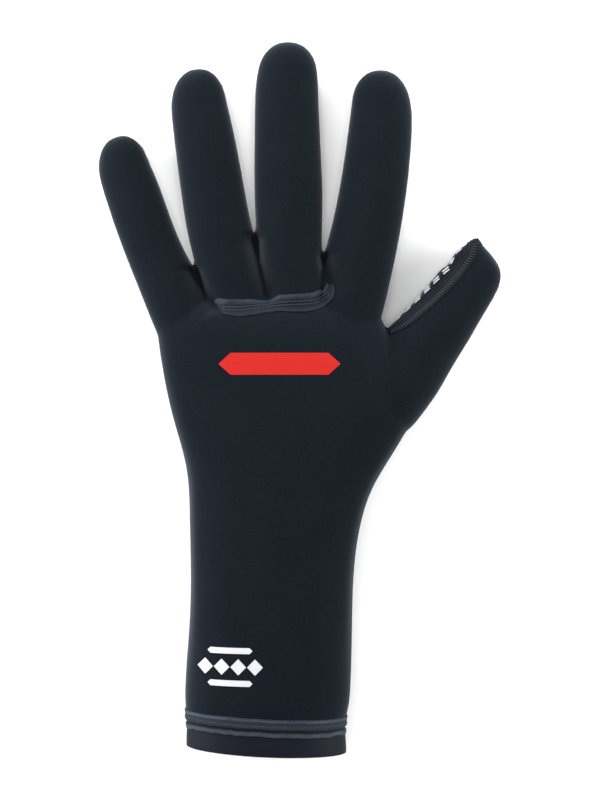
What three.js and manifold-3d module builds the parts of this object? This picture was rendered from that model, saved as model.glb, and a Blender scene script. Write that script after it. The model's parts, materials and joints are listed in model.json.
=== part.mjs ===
// A left-hand neoprene swim glove with a long cuff, lying palm down on a flat surface.
// Millimetres. +Y runs from the cuff to the fingertips, +X to the thumb side, +Z up.
// The origin is on the surface, under the middle of the glove's outline.
import * as THREE from "three";
import { mergeVertices } from "three/addons/utils/BufferGeometryUtils.js";
import Module from "manifold-3d";

const wasm = await Module();
wasm.setup();

// Driving dimensions
const WALL = 3; // double-lined neoprene
const GAP = 0.3; // between neighbouring pieces
const TAPE = 0.7; // seam tape, thickness
const PRINT = 0.5; // heat-pressed marks, thickness
const KNUCKLE_TAPE_WIDTH = 7.2;
const THUMB_TAPE_WIDTH = 5.4;
const CUFF_TAPE_WIDTH = 7;
const CUFF_SEAM_Y = -133;
const SIDE_SEAM = { y: -146, z: 21, slope: -0.032 }; // between palm and back, down towards the fingertips
const HEM = { y: -144.8, tilt: 2.2 }; // the cuff's end, a few degrees off square
const MIDDLE = { x: 0.05, y: 2.17 }; // of the outline, in the tables' own coordinates
const SIDES = { body: 36, bodyInside: 28, digit: 18, digitInside: 14 }; // facets round each section
const SQUARENESS = { body: 2.5, digit: 2.1 }; // 2 is an ellipse
const CAP_RINGS = 4;
const FAR = 400; // past the glove in any direction
const CUTTER = { from: -10, to: 70 }; // heights of the solids that cut from above
const START = { solid: -153, hollow: -161 }; // where the cuff's sections begin, past the hem

// Hand and cuff: one row for each section across the glove
const bodyRows = [
  { y: -146, left: -46.9, right: 19.2, bottom: -0.5, top: 42.4 },
  { y: -139.4, left: -47.2, right: 18.8, bottom: -0.5, top: 42.2 },
  { y: -136.4, left: -46.6, right: 18.3, bottom: 1.7, top: 41.6 },
  { y: -129.6, left: -47.0, right: 19.2, bottom: 1.7, top: 42.0 },
  { y: -126, left: -47.5, right: 20.4, bottom: 0.4, top: 42.8 },
  { y: -116, left: -47.6, right: 21.0, bottom: -0.5, top: 43.0 },
  { y: -92, left: -45.4, right: 21.5, bottom: 1.2, top: 42.2 },
  { y: -72, left: -44.9, right: 21.7, bottom: 2.6, top: 41.0 },
  { y: -52, left: -45.7, right: 24.4, bottom: 2.0, top: 39.6 },
  { y: -37, left: -45.8, right: 29.1, bottom: 0.2, top: 38.6 },
  { y: -24, left: -47.6, right: 37.4, bottom: -0.5, top: 37.8 },
  { y: -10, left: -52.2, right: 46.3, bottom: -0.5, top: 36.8 },
  { y: 3, left: -55.4, right: 50.3, bottom: 0.2, top: 35.6 },
  { y: 16, left: -57.7, right: 46.8, bottom: 1.2, top: 34.4 },
  { y: 28, left: -59.5, right: 37.6, bottom: 1.4, top: 33.0 },
  { y: 37, left: -59.8, right: 33.0, bottom: 1.2, top: 31.0 },
  { y: 45, left: -56.8, right: 30.0, bottom: 1.8, top: 27.6 },
  { y: 51, left: -52.0, right: 25.0, bottom: 4.0, top: 22.6 },
];

// Digits: one row for each section, from the root inside the hand to where the tip starts to round
const digits = {
  little: {
    tip: { x: -75.9, y: 111.2, z: 8.2 },
    rows: [
      { x: -41.0, y: 16.0, z: 16.0, width: 24.0, height: 22.0 },
      { x: -47.6, y: 32.0, z: 15.6, width: 25.6, height: 23.4 },
      { x: -53.2, y: 45.0, z: 14.6, width: 25.0, height: 22.4 },
      { x: -58.0, y: 55.6, z: 13.6, width: 24.2, height: 21.4 },
      { x: -62.8, y: 66.2, z: 12.8, width: 23.3, height: 20.6 },
      { x: -67.6, y: 79.0, z: 11.8, width: 23.0, height: 20.0 },
      { x: -71.4, y: 89.8, z: 10.2, width: 22.6, height: 19.2 },
      { x: -73.7, y: 96.9, z: 8.9, width: 21.7, height: 18.4 },
    ],
  },
  ring: {
    tip: { x: -42.9, y: 139.3, z: 9.0 },
    rows: [
      { x: -21.0, y: 22.0, z: 16.4, width: 24.0, height: 22.0 },
      { x: -25.0, y: 38.0, z: 16.2, width: 26.4, height: 24.0 },
      { x: -29.4, y: 54.0, z: 15.6, width: 27.6, height: 24.2 },
      { x: -33.4, y: 71.0, z: 14.9, width: 27.6, height: 23.6 },
      { x: -36.4, y: 87.0, z: 14.0, width: 26.4, height: 22.6 },
      { x: -39.2, y: 104.0, z: 12.8, width: 25.4, height: 21.6 },
      { x: -41.6, y: 118.0, z: 10.8, width: 24.2, height: 20.8 },
      { x: -42.7, y: 124.2, z: 9.6, width: 23.4, height: 20.0 },
    ],
  },
  middle: {
    tip: { x: -4.7, y: 150.4, z: 9.6 },
    rows: [
      { x: 0.0, y: 24.0, z: 16.4, width: 24.0, height: 22.0 },
      { x: -2.0, y: 40.0, z: 16.4, width: 26.6, height: 24.4 },
      { x: -4.4, y: 56.0, z: 15.9, width: 27.0, height: 24.8 },
      { x: -4.9, y: 72.0, z: 15.4, width: 28.4, height: 24.6 },
      { x: -4.9, y: 86.0, z: 14.6, width: 28.9, height: 24.2 },
      { x: -5.2, y: 102.0, z: 13.4, width: 27.6, height: 23.2 },
      { x: -5.5, y: 120.0, z: 11.8, width: 26.7, height: 22.2 },
      { x: -5.6, y: 131.0, z: 10.6, width: 26.1, height: 21.4 },
      { x: -5.3, y: 137.0, z: 10.0, width: 25.2, height: 20.8 },
    ],
  },
  index: {
    tip: { x: 33.4, y: 138.3, z: 9.4 },
    rows: [
      { x: 15.0, y: 18.0, z: 16.4, width: 26.0, height: 22.0 },
      { x: 19.4, y: 36.0, z: 16.2, width: 29.2, height: 24.2 },
      { x: 23.6, y: 54.0, z: 15.6, width: 29.4, height: 24.2 },
      { x: 27.4, y: 71.0, z: 14.8, width: 28.7, height: 24.0 },
      { x: 30.6, y: 87.0, z: 13.8, width: 27.6, height: 23.2 },
      { x: 32.9, y: 104.0, z: 12.4, width: 27.0, height: 22.4 },
      { x: 34.2, y: 118.0, z: 10.8, width: 26.0, height: 21.4 },
      { x: 34.3, y: 123.6, z: 10.0, width: 25.0, height: 20.8 },
    ],
  },
  thumb: {
    tip: { x: 78.0, y: 65.1, z: 9.4 },
    rows: [
      { x: 28.0, y: -10.0, z: 17.4, width: 31.0, height: 28.0 },
      { x: 37.0, y: 3.0, z: 16.8, width: 33.0, height: 29.0 },
      { x: 44.8, y: 13.8, z: 15.8, width: 33.2, height: 27.8 },
      { x: 50.6, y: 22.2, z: 14.8, width: 30.8, height: 26.4 },
      { x: 56.4, y: 29.2, z: 13.8, width: 28.6, height: 25.0 },
      { x: 61.4, y: 35.7, z: 12.8, width: 27.0, height: 23.6 },
      { x: 66.0, y: 42.4, z: 11.8, width: 25.8, height: 22.2 },
      { x: 70.4, y: 48.8, z: 10.8, width: 24.0, height: 21.0 },
      { x: 73.4, y: 53.7, z: 9.9, width: 22.2, height: 20.0 },
    ],
  },
};

// Seams and marks, drawn on the glove as seen from above, and points in the gaps between the digits
const knuckleSeam = [
  { x: -44.6, y: 54.5 },
  { x: -40.8, y: 46.5 },
  { x: -37.4, y: 41.0 },
  { x: -32.6, y: 38.4 },
  { x: -21.0, y: 38.6 },
  { x: -6.0, y: 40.6 },
  { x: 5.0, y: 42.4 },
  { x: 11.0, y: 45.2 },
  { x: 13.2, y: 50.0 },
  { x: 9.4, y: 58.0 },
];
const thumbSeam = [
  { x: 36.6, y: 29.6 },
  { x: 42.6, y: 31.6 },
  { x: 49.8, y: 37.6 },
  { x: 57.6, y: 44.4 },
  { x: 64.4, y: 51.8 },
  { x: 69.4, y: 57.8 },
  { x: 72.0, y: 62.4 },
  { x: 73.6, y: 68.0 },
];
const besideFingers = [
  { x: 16.4, y: 100 },
  { x: 18, y: 170 },
  { x: -62, y: 170 },
  { x: -57, y: 100 },
];
const besideIndex = { x: 40.4, y: 52 };
const besideThumb = { x: 60, y: 72 };
const backMark = { x: -8.4, y: 14.8, length: 50, height: 9, point: 5 };
const cuffMark = { x: -28.4, y: -108.2, diamonds: 4, size: 6.4, point: 3.1, pitch: 6.8 };
const cuffMarkBar = { length: 18.4, height: 2.4, point: 1.2, rise: 6.6 }; // one above, one below

// A closed three.js geometry as a solid that can be joined and cut
function solidOf(geometry) {
  const bare = new THREE.BufferGeometry();
  bare.setAttribute("position", geometry.getAttribute("position"));
  bare.setIndex(geometry.getIndex());
  const merged = mergeVertices(bare, 1e-4);
  return new wasm.Manifold(
    new wasm.Mesh({
      numProp: 3,
      vertProperties: merged.getAttribute("position").array,
      triVerts: new Uint32Array(merged.getIndex().array),
    }),
  );
}

// A skin over rings of equal length, closed by a point at each end
function loft(rings, firstPoint, lastPoint) {
  const sides = rings[0].length;
  const points = [firstPoint, ...rings.flat(), lastPoint];
  const last = points.length - 1;
  const index = [];
  for (let i = 0; i < sides; i++) {
    const j = (i + 1) % sides;
    index.push(0, 1 + j, 1 + i);
    for (let r = 0; r + 1 < rings.length; r++) {
      const a = 1 + r * sides;
      const b = a + sides;
      index.push(a + i, a + j, b + j, a + i, b + j, b + i);
    }
    const end = 1 + (rings.length - 1) * sides;
    index.push(end + i, end + j, last);
  }
  const geometry = new THREE.BufferGeometry().setFromPoints(points);
  geometry.setIndex(index);
  return solidOf(geometry);
}

// An oval ring: squarer than an ellipse when exponent is over 2
function ovalRing(centre, across, up, halfWidth, halfHeight, sides, exponent) {
  const ring = [];
  for (let i = 0; i < sides; i++) {
    const angle = (-2 * Math.PI * i) / sides;
    const c = Math.cos(angle);
    const s = Math.sin(angle);
    const u = Math.sign(c) * Math.abs(c) ** (2 / exponent) * halfWidth;
    const v = Math.sign(s) * Math.abs(s) ** (2 / exponent) * halfHeight;
    ring.push(centre.clone().addScaledVector(across, u).addScaledVector(up, v));
  }
  return ring;
}

// The hand and cuff, grown by an offset all round
function bodyForm(offset, startY) {
  const across = new THREE.Vector3(1, 0, 0);
  const up = new THREE.Vector3(0, 0, 1);
  const sides = offset < 0 ? SIDES.bodyInside : SIDES.body;
  const rings = bodyRows.map((row, i) => {
    const fingerEnd = i === bodyRows.length - 1;
    const y = i === 0 ? startY : row.y + (fingerEnd ? offset : 0);
    const centre = new THREE.Vector3((row.left + row.right) / 2, y, (row.bottom + row.top) / 2);
    const halfWidth = (row.right - row.left) / 2 + offset;
    const halfHeight = (row.top - row.bottom) / 2 + offset;
    return ovalRing(centre, across, up, halfWidth, halfHeight, sides, SQUARENESS.body);
  });
  const middle = (ring) =>
    ring.reduce((sum, p) => sum.add(p), new THREE.Vector3()).divideScalar(ring.length);
  return loft(rings, middle(rings[0]), middle(rings.at(-1)));
}

// One digit, grown by an offset all round, with a rounded tip
function digitForm({ rows, tip }, offset) {
  const sides = offset < 0 ? SIDES.digitInside : SIDES.digit;
  const centres = [...rows, tip].map((row) => new THREE.Vector3(row.x, row.y, row.z));
  const ringAt = (i, centre, share) => {
    const along = centres[i + 1].clone().sub(centres[Math.max(i - 1, 0)]).normalize();
    const across = new THREE.Vector3(along.y, -along.x, 0).normalize();
    const up = across.clone().cross(along);
    const halfWidth = (rows[i].width / 2 + offset) * share;
    const halfHeight = (rows[i].height / 2 + offset) * share;
    return ovalRing(centre, across, up, halfWidth, halfHeight, sides, SQUARENESS.digit);
  };
  const rings = rows.map((row, i) => ringAt(i, centres[i], 1));
  const base = centres.at(-2);
  const cap = centres.at(-1).clone().sub(base);
  cap.setLength(cap.length() + offset);
  for (let k = 1; k < CAP_RINGS; k++) {
    const angle = (Math.PI / 2) * (k / CAP_RINGS);
    const centre = base.clone().addScaledVector(cap, Math.sin(angle));
    rings.push(ringAt(rows.length - 1, centre, Math.cos(angle)));
  }
  return loft(rings, centres[0], base.clone().add(cap));
}

// A box from two opposite corners
function box(low, high) {
  const geometry = new THREE.BoxGeometry(high[0] - low[0], high[1] - low[1], high[2] - low[2]);
  geometry.translate((low[0] + high[0]) / 2, (low[1] + high[1]) / 2, (low[2] + high[2]) / 2);
  return solidOf(geometry);
}

// A plan outline, extruded straight up through the glove
function prism(outline) {
  const shape = new THREE.Shape(outline.map((p) => new THREE.Vector2(p.x, p.y)));
  const depth = CUTTER.to - CUTTER.from;
  const geometry = new THREE.ExtrudeGeometry(shape, { depth, bevelEnabled: false });
  geometry.translate(0, 0, CUTTER.from);
  return solidOf(geometry);
}

// A plan path moved sideways, its corners mitred: a positive distance is to the left of its direction
function shifted(path, distance) {
  const points = path.map((p) => new THREE.Vector2(p.x, p.y));
  const leftOf = points.slice(1).map((p, i) => {
    const along = p.clone().sub(points[i]).normalize();
    return new THREE.Vector2(-along.y, along.x);
  });
  return points.map((p, i) => {
    const before = leftOf[Math.max(i - 1, 0)];
    const after = leftOf[Math.min(i, leftOf.length - 1)];
    const mitre = before.clone().add(after).divideScalar(1 + before.dot(after));
    return p.addScaledVector(mitre, distance);
  });
}

// A strip of a given width that follows a plan path
function strip(path, width) {
  return prism([...shifted(path, -width / 2), ...shifted(path, width / 2).reverse()]);
}

// The whole glove's form, grown by an offset all round and cut off flat at a floor
function gloveForm(offset, floor, startY) {
  let form = bodyForm(offset, startY);
  for (const digit of Object.values(digits)) form = form.add(digitForm(digit, offset));
  return form.subtract(box([-FAR, -FAR, -FAR], [FAR, FAR, floor]));
}

// Everything below the side seam, moved up by a clearance
function belowSideSeam(clearance) {
  const heightAt = (y) => SIDE_SEAM.z + SIDE_SEAM.slope * (y - SIDE_SEAM.y) + clearance;
  const shape = new THREE.Shape([
    new THREE.Vector2(-FAR, -FAR),
    new THREE.Vector2(FAR, -FAR),
    new THREE.Vector2(FAR, heightAt(FAR)),
    new THREE.Vector2(-FAR, heightAt(-FAR)),
  ]);
  const geometry = new THREE.ExtrudeGeometry(shape, { depth: 2 * FAR, bevelEnabled: false });
  geometry.translate(0, 0, -FAR);
  // the shape's own x, y and depth become the glove's y, z and x
  geometry.applyMatrix4(new THREE.Matrix4().set(0, 0, 1, 0, 1, 0, 0, 0, 0, 1, 0, 0, 0, 0, 0, 1));
  return solidOf(geometry);
}

// Everything on the cuff's side of a line across it, as tilted as the hem
function towardCuff(y) {
  const centreX = (bodyRows[0].left + bodyRows[0].right) / 2;
  const geometry = new THREE.BoxGeometry(FAR, FAR, FAR);
  geometry.translate(0, -FAR / 2, 0);
  geometry.rotateZ(THREE.MathUtils.degToRad(-HEM.tilt));
  geometry.translate(centreX, y, 0);
  return solidOf(geometry);
}

// The ring and middle fingers' panel, in plan: the knuckle seam and the gaps beside the two fingers
function fingerPanelOutline(clearance) {
  return prism([...shifted(knuckleSeam, clearance), ...besideFingers]);
}

// The thumb's palm side, in plan: what lies between its seam and the gap beside the index finger
function thumbPalmOutline(clearance) {
  return prism([...shifted([besideIndex, ...thumbSeam], clearance), besideThumb]);
}

// Neoprene panels
const outer = gloveForm(0, 0, START.solid);
const hollow = gloveForm(-WALL, WALL, START.hollow);
const shell = outer.subtract(hollow).subtract(towardCuff(HEM.y));
const cuffBand = shell.intersect(towardCuff(CUFF_SEAM_Y));
const hand = shell.subtract(towardCuff(CUFF_SEAM_Y + GAP));
const palmSide = belowSideSeam(0).add(thumbPalmOutline(GAP));
const backSide = hand.subtract(belowSideSeam(GAP)).subtract(thumbPalmOutline(0));
const palmPanel = hand.intersect(palmSide);
const fingerPanel = backSide.intersect(fingerPanelOutline(GAP));
const backPanel = backSide.subtract(fingerPanelOutline(0));

// Seam tapes and prints lie on the panels, a gap away
const clear = gloveForm(GAP, CUTTER.from, START.hollow);
const tapeLayer = gloveForm(GAP + TAPE, 0, START.solid).subtract(clear);
const printLayer = gloveForm(GAP + PRINT, 0, START.solid).subtract(clear).subtract(belowSideSeam(0));
const upperTape = tapeLayer.subtract(belowSideSeam(2 * GAP));
const knuckleTape = upperTape.intersect(strip(knuckleSeam, KNUCKLE_TAPE_WIDTH));
const thumbTape = upperTape.intersect(strip(thumbSeam, THUMB_TAPE_WIDTH));
const cuffTape = tapeLayer
  .intersect(towardCuff(CUFF_SEAM_Y + CUFF_TAPE_WIDTH / 2))
  .subtract(towardCuff(CUFF_SEAM_Y - CUFF_TAPE_WIDTH / 2));

// A plain bar with pointed ends, in plan
function barOutline({ x, y, length, height, point }) {
  const end = length / 2;
  const side = height / 2;
  return [
    { x: x - end, y },
    { x: x - end + point, y: y - side },
    { x: x + end - point, y: y - side },
    { x: x + end, y },
    { x: x + end - point, y: y + side },
    { x: x - end + point, y: y + side },
  ];
}

// Materials
const material = (color, roughness) => new THREE.MeshStandardMaterial({ color, roughness, metalness: 0 });
const neoprene = material(0x1b2028, 0.85);
const tapeFilm = material(0x33373e, 0.6);
const hemRubber = material(0x1e2129, 0.7);
const redPrint = material(0xe23b38, 0.55);
const whitePrint = material(0xf0f1f3, 0.55);

const glove = new THREE.Group();

// Adds a finished solid to the glove as a named piece
function addPiece(name, solid, finish) {
  const mesh = solid.getMesh();
  const geometry = new THREE.BufferGeometry();
  geometry.setAttribute("position", new THREE.BufferAttribute(mesh.vertProperties, 3));
  geometry.setIndex(new THREE.BufferAttribute(mesh.triVerts, 1));
  geometry.translate(-MIDDLE.x, -MIDDLE.y, 0);
  geometry.computeVertexNormals();
  const piece = new THREE.Mesh(geometry, finish);
  piece.name = name;
  glove.add(piece);
}

addPiece("back_panel", backPanel, neoprene);
addPiece("finger_panel", fingerPanel, neoprene);
addPiece("palm_panel", palmPanel, neoprene);
addPiece("cuff_band", cuffBand, hemRubber);
addPiece("knuckle_tape", knuckleTape, tapeFilm);
addPiece("thumb_tape", thumbTape, tapeFilm);
addPiece("cuff_tape", cuffTape, tapeFilm);
addPiece("back_mark", printLayer.intersect(prism(barOutline(backMark))), redPrint);
for (const [name, side] of Object.entries({ upper: 1, lower: -1 })) {
  const outline = barOutline({ ...cuffMarkBar, x: cuffMark.x, y: cuffMark.y + side * cuffMarkBar.rise });
  addPiece(`cuff_mark_${name}_bar`, printLayer.intersect(prism(outline)), whitePrint);
}
for (let i = 0; i < cuffMark.diamonds; i++) {
  const x = cuffMark.x + (i - (cuffMark.diamonds - 1) / 2) * cuffMark.pitch;
  const outline = barOutline({ ...cuffMark, x, length: cuffMark.size, height: cuffMark.size });
  addPiece(`cuff_mark_diamond_${i + 1}`, printLayer.intersect(prism(outline)), whitePrint);
}

export default glove;
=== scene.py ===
# %% [markdown]
# # A neoprene swim glove
# A left-hand swim glove lies palm down and shows the back of the hand. It is sewn and taped from
# three panels of jersey-faced neoprene and ends in a smooth rubber band. The plan is to loft one smooth form
# from a table of sections, cut it along the seams into panels, give the panels their thickness,
# and lay the tapes, stitches and prints on top.

# %% Start: an empty scene and the fixed frame
import json
import math
from collections import namedtuple

import bmesh
import bpy
from mathutils import Matrix, Vector, noise
from mathutils.bvhtree import BVHTree

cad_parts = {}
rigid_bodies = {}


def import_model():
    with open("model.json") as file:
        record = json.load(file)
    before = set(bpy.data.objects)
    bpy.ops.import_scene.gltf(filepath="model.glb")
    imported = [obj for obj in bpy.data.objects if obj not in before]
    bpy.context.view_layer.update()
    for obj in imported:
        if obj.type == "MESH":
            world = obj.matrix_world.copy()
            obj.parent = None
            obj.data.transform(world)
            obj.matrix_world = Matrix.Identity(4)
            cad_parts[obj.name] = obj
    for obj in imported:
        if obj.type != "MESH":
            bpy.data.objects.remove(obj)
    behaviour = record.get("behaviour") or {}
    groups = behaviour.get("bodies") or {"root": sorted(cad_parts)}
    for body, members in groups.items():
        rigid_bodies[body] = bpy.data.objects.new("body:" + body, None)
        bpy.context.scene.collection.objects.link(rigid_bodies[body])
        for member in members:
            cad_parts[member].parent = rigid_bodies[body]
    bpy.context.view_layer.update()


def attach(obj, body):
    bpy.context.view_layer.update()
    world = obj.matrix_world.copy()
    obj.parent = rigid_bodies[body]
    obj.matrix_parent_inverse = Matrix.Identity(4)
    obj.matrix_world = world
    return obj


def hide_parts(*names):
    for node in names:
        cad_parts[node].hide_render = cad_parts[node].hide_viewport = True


for leftover in list(bpy.data.objects):
    bpy.data.objects.remove(leftover)
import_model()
scene = bpy.context.scene

# %% [markdown]
# ## Helpers
# Operators act on whatever is selected, so each step first clears the selection and then picks
# vertices or faces by a test on their place. The tables are in millimetres, as a pattern cutter
# would write them, and one function turns them into the frame's metres.

# %% Selecting and finishing
MM = 0.001
OUTLINE_MIDDLE = (0.05, 2.17)  # of the glove, in the tables' own coordinates


def place(x, y, z=0.0):
    """A point of the tables, in metres in the frame."""
    return Vector(((x - OUTLINE_MIDDLE[0]) * MM, (y - OUTLINE_MIDDLE[1]) * MM, z * MM))


def only(obj):
    """Selects this object and nothing else."""
    bpy.ops.object.select_all(action="DESELECT")
    obj.select_set(True)
    bpy.context.view_layer.objects.active = obj


def pick(obj, test, kind="VERT"):
    """In edit mode, selects the vertices, edges or faces that pass a test."""
    bpy.context.tool_settings.mesh_select_mode = (kind == "VERT", kind == "EDGE", kind == "FACE")
    bpy.ops.mesh.select_all(action="DESELECT")
    mesh = bmesh.from_edit_mesh(obj.data)
    elements = {"VERT": mesh.verts, "EDGE": mesh.edges, "FACE": mesh.faces}[kind]
    for element in elements:
        if test(element):
            element.select_set(True)
    mesh.select_flush_mode()
    bmesh.update_edit_mesh(obj.data)


def finish_with(obj, kind, **settings):
    """Adds one modifier with its settings and applies it."""
    only(obj)
    modifier = obj.modifiers.new(kind.lower(), kind)
    for key, value in settings.items():
        setattr(modifier, key, value)
    bpy.ops.object.modifier_apply(modifier=modifier.name)


def stretch(obj, factors):
    """Scales a whole mesh from the origin in edit mode."""
    only(obj)
    bpy.ops.object.mode_set(mode="EDIT")
    bpy.ops.mesh.select_all(action="SELECT")
    bpy.ops.transform.resize(value=factors, center_override=(0, 0, 0))
    bpy.ops.object.mode_set(mode="OBJECT")


def smooth(obj, angle):
    """Smooth shading, with edges kept sharp over an angle."""
    only(obj)
    bpy.ops.object.shade_smooth_by_angle(angle=math.radians(angle))


def tell(obj):
    """Prints what a piece measures."""
    size = [round(v / MM, 1) for v in obj.dimensions]
    faces = sum(len(p.vertices) - 2 for p in obj.data.polygons)
    print(f"{obj.name}: {size} mm, {faces} triangles")


# %% [markdown]
# ## The shape as a table of sections
# A glove drying on a flat surface keeps the hand's form: the palm is a flattened oval, the fingers are
# round tubes that lean a little apart, and the cuff is an oval mouth. It could be sculpted, but a table
# of sections is easy to check and to change. Rows are close together only where the outline bends.

# %% Sections of the hand and cuff
Slice = namedtuple("Slice", "y left right bottom top")
hand_slices = [
    Slice(-153, -46.9, 19.2, -0.5, 42.4),
    Slice(-146, -46.9, 19.2, -0.5, 42.4),
    Slice(-139.4, -47.2, 18.8, -0.5, 42.2),
    Slice(-136.4, -46.6, 18.3, 1.7, 41.6),
    Slice(-129.6, -47.0, 19.2, 1.7, 42.0),
    Slice(-126, -47.5, 20.4, 0.4, 42.8),
    Slice(-116, -47.6, 21.0, -0.5, 43.0),
    Slice(-92, -45.4, 21.5, 1.2, 42.2),
    Slice(-72, -44.9, 21.7, 2.6, 41.0),
    Slice(-52, -45.7, 24.4, 2.0, 39.6),
    Slice(-37, -45.8, 29.1, 0.2, 38.6),
    Slice(-24, -47.6, 37.4, -0.5, 37.8),
    Slice(-10, -52.2, 46.3, -0.5, 36.8),
    Slice(3, -55.4, 50.3, 0.2, 35.6),
    Slice(16, -57.7, 46.8, 1.2, 34.4),
    Slice(28, -59.5, 36.6, 1.4, 33.0),
    Slice(37, -59.6, 32.2, 1.2, 29.6),
    Slice(41, -58.0, 30.4, 1.4, 24.6),
    Slice(45, -54.0, 27.0, 2.4, 16.0),
]
print("hand and cuff:", len(hand_slices), "sections")

# %% Sections of the digits, from the root to where the tip starts to round
Ring = namedtuple("Ring", "x y z width height")
digits = {
    "little": [
        Ring(-41.0, 16.0, 16.0, 24.0, 22.0),
        Ring(-47.6, 32.0, 15.6, 25.6, 23.4),
        Ring(-53.2, 45.0, 14.6, 25.0, 22.4),
        Ring(-58.3, 55.6, 13.6, 23.4, 21.4),
        Ring(-63.0, 66.2, 12.8, 22.8, 20.6),
        Ring(-67.6, 79.0, 11.8, 23.0, 20.0),
        Ring(-71.4, 89.8, 10.2, 22.6, 19.2),
        Ring(-74.2, 96.9, 8.9, 21.7, 18.4),
    ],
    "ring": [
        Ring(-21.0, 22.0, 16.4, 24.0, 22.0),
        Ring(-25.0, 38.0, 16.2, 26.4, 24.0),
        Ring(-29.0, 54.0, 15.6, 26.8, 24.2),
        Ring(-33.9, 71.0, 14.9, 26.6, 23.6),
        Ring(-36.5, 87.0, 14.0, 26.2, 22.6),
        Ring(-39.2, 104.0, 12.8, 25.4, 21.6),
        Ring(-41.6, 118.0, 10.8, 24.2, 20.8),
        Ring(-42.7, 124.2, 9.6, 23.4, 20.0),
    ],
    "middle": [
        Ring(0.0, 24.0, 16.4, 24.0, 22.0),
        Ring(-2.0, 40.0, 16.4, 26.6, 24.4),
        Ring(-4.3, 56.0, 15.9, 26.4, 24.8),
        Ring(-4.6, 72.0, 15.4, 27.2, 24.6),
        Ring(-4.8, 86.0, 14.6, 28.5, 24.2),
        Ring(-5.2, 102.0, 13.4, 27.6, 23.2),
        Ring(-5.5, 120.0, 11.8, 26.7, 22.2),
        Ring(-5.6, 131.0, 10.6, 26.1, 21.4),
        Ring(-5.3, 137.0, 10.0, 25.2, 20.8),
    ],
    "index": [
        Ring(15.0, 18.0, 16.4, 26.0, 22.0),
        Ring(19.4, 36.0, 16.2, 29.2, 24.2),
        Ring(23.6, 54.0, 15.6, 29.4, 24.2),
        Ring(27.7, 71.0, 14.8, 28.2, 24.0),
        Ring(30.6, 87.0, 13.8, 27.6, 23.2),
        Ring(32.9, 104.0, 12.4, 27.0, 22.4),
        Ring(34.2, 118.0, 10.8, 26.0, 21.4),
        Ring(34.3, 123.6, 10.0, 25.0, 20.8),
    ],
    "thumb": [
        Ring(28.0, -10.0, 17.4, 31.0, 28.0),
        Ring(37.0, 3.0, 16.8, 33.0, 29.0),
        Ring(44.8, 13.8, 15.8, 33.2, 27.8),
        Ring(50.6, 22.2, 14.8, 30.8, 26.4),
        Ring(56.4, 29.2, 13.8, 28.6, 25.0),
        Ring(61.4, 35.7, 12.8, 27.0, 23.6),
        Ring(65.9, 42.4, 11.8, 25.4, 22.2),
        Ring(70.4, 48.8, 10.8, 25.0, 21.0),
        Ring(74.0, 53.7, 9.9, 23.8, 20.0),
    ],
}
print("digits:", ", ".join(f"{name} {len(rows)}" for name, rows in digits.items()), "sections")

# %% Tips, and the webs that fill the roots between the fingers
Tip = namedtuple("Tip", "x y z")
tips = {
    "little": Tip(-77.2, 111.2, 8.2),
    "ring": Tip(-43.4, 139.6, 9.0),
    "middle": Tip(-4.2, 150.8, 9.6),
    "index": Tip(33.4, 139.0, 9.4),
    "thumb": Tip(74.0, 68.2, 9.4),
}
webs = {
    "little_ring_web": [
        Ring(-36.0, 26.0, 13.0, 11.0, 14.0),
        Ring(-40.0, 42.0, 12.6, 9.0, 12.0),
        Ring(-43.2, 50.0, 12.2, 7.0, 11.0),
    ],
    "ring_middle_web": [
        Ring(-11.0, 30.0, 13.0, 11.0, 14.0),
        Ring(-15.0, 46.0, 12.8, 9.0, 12.0),
        Ring(-18.4, 62.0, 12.4, 7.0, 11.0),
    ],
    "middle_index_web": [
        Ring(10.0, 30.0, 13.0, 11.0, 14.0),
        Ring(10.6, 46.0, 12.8, 9.0, 12.0),
        Ring(10.4, 56.0, 12.4, 7.0, 11.0),
    ],
}
web_tips = {
    "little_ring_web": Tip(-44.4, 54.0, 11.0),
    "ring_middle_web": Tip(-19.4, 69.4, 12.0),
    "middle_index_web": Tip(9.6, 62.0, 12.0),
}
print("webs:", ", ".join(webs))

# %% [markdown]
# ## Lofting the form
# Each tube starts as a circle, squashed to its section and turned to face along the digit. The next
# circles are added beside it in edit mode, and one bridge joins them all. A subdivision surface then
# rounds the skin. It pulls a ring in slightly, so the circles are drawn that much larger. A curve with a
# bevel makes tubes too, but their section keeps one shape from end to end.

# %% A ring, and a tube of rings
CORNER_SWELL = 1.055  # the hand's oval is squarer than an ellipse, the cuff's is not
CORNER_FROM = 0.45  # share of the half width and height where a corner starts
CUFF_TOP = -100


def add_ring(centre, half_width, half_height, turn, sides, square):
    """A circle facing +Y, shaped to a section and turned about Z."""
    bpy.ops.mesh.primitive_circle_add(
        vertices=sides, radius=MM, fill_type="NOTHING", location=centre, rotation=(math.pi / 2, 0, 0)
    )
    swell = 3 / (2 + math.cos(2 * math.pi / sides))
    bpy.ops.transform.resize(value=(half_width * swell, 1, half_height * swell), center_override=centre)
    if square:
        obj = bpy.context.object
        ring = set(v.index for v in bmesh.from_edit_mesh(obj.data).verts if v.select)

        def in_corner(v):
            across = abs(v.co.x - centre.x) / (half_width * MM)
            up = abs(v.co.z - centre.z) / (half_height * MM)
            return v.index in ring and min(across, up) > CORNER_FROM

        pick(obj, in_corner)
        bpy.ops.transform.resize(value=(CORNER_SWELL, 1, CORNER_SWELL), center_override=centre)
    else:
        bpy.ops.transform.rotate(value=turn, orient_axis="Z", center_override=centre)


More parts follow.
